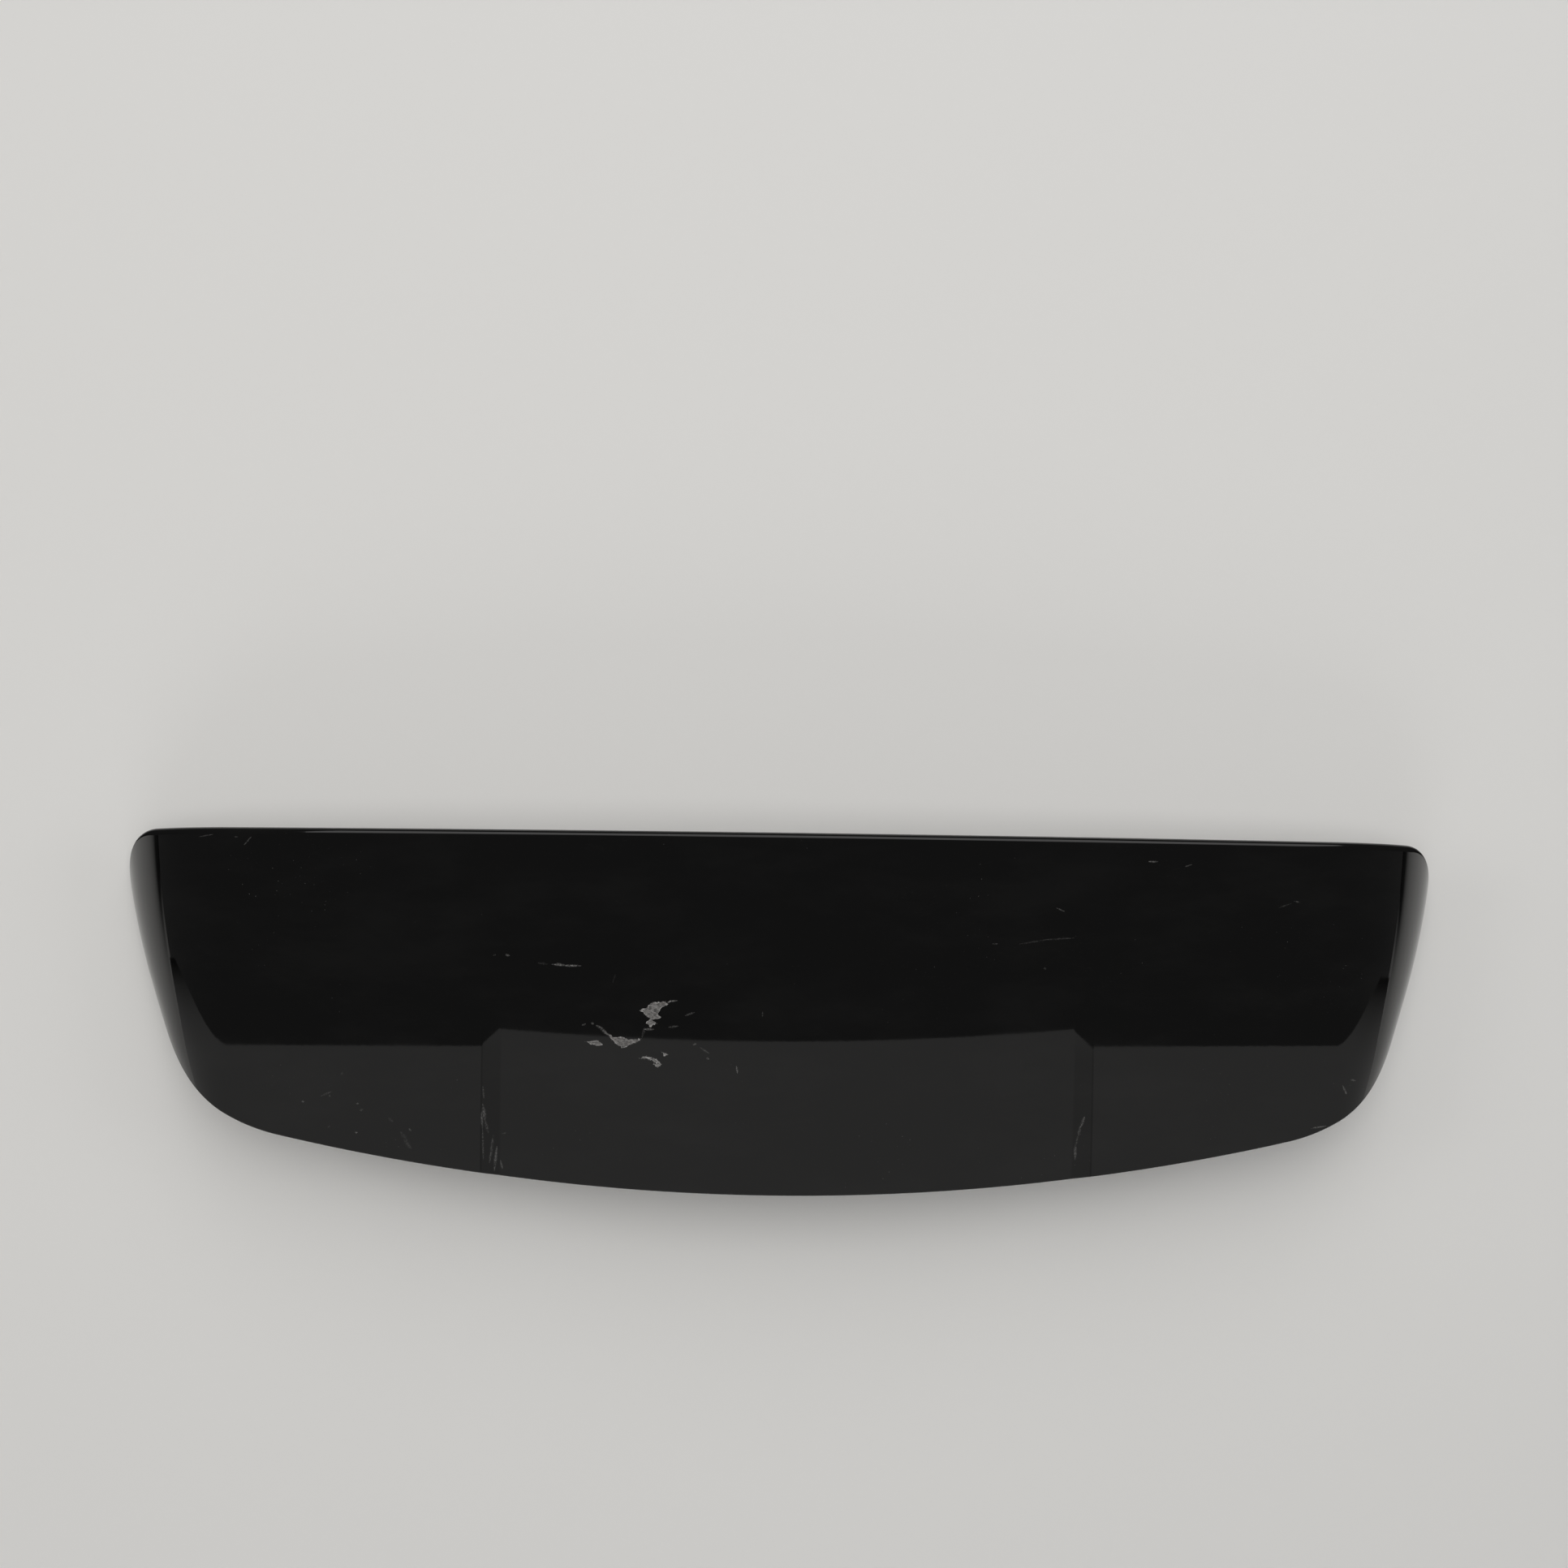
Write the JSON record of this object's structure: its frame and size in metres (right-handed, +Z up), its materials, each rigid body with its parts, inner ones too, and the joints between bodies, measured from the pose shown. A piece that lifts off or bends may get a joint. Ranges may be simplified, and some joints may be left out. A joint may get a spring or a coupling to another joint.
{
  "type": "tailgate spoiler",
  "caption": "Wide crowned tailgate spoiler with rolled side cheeks, a shallow recessed centre and a thin trailing edge, fixed over the top of a tailgate by studs under its inner panel.",
  "frame": {"origin": "centre of the stud pattern, on the tailgate's surface (lower face of the foam rings)", "axes": "+X across the car to the right, +Y forward to the leading edge, +Z up out of the painted skin"},
  "size_m": [1.22, 0.3151, 0.1217],
  "materials": {
    "skin_paint": "gloss black paint with light wear",
    "panel_plastic": "fine grained moulded black plastic",
    "stud_steel": "zinc plated",
    "ring_foam": "closed-cell foam",
    "seal_rubber": "extruded rubber",
    "clip_plastic": "natural moulded plastic",
    "pad_foam": "closed-cell foam"
  },
  "bodies": {
    "root": {"upper_skin": "skin_paint", "lower_panel": "panel_plastic", "mounting_studs": "stud_steel", "stud_gaskets": "ring_foam", "front_seal": "seal_rubber", "side_clips": "clip_plastic", "rest_pads": "pad_foam"}
  },
  "joints": []
}
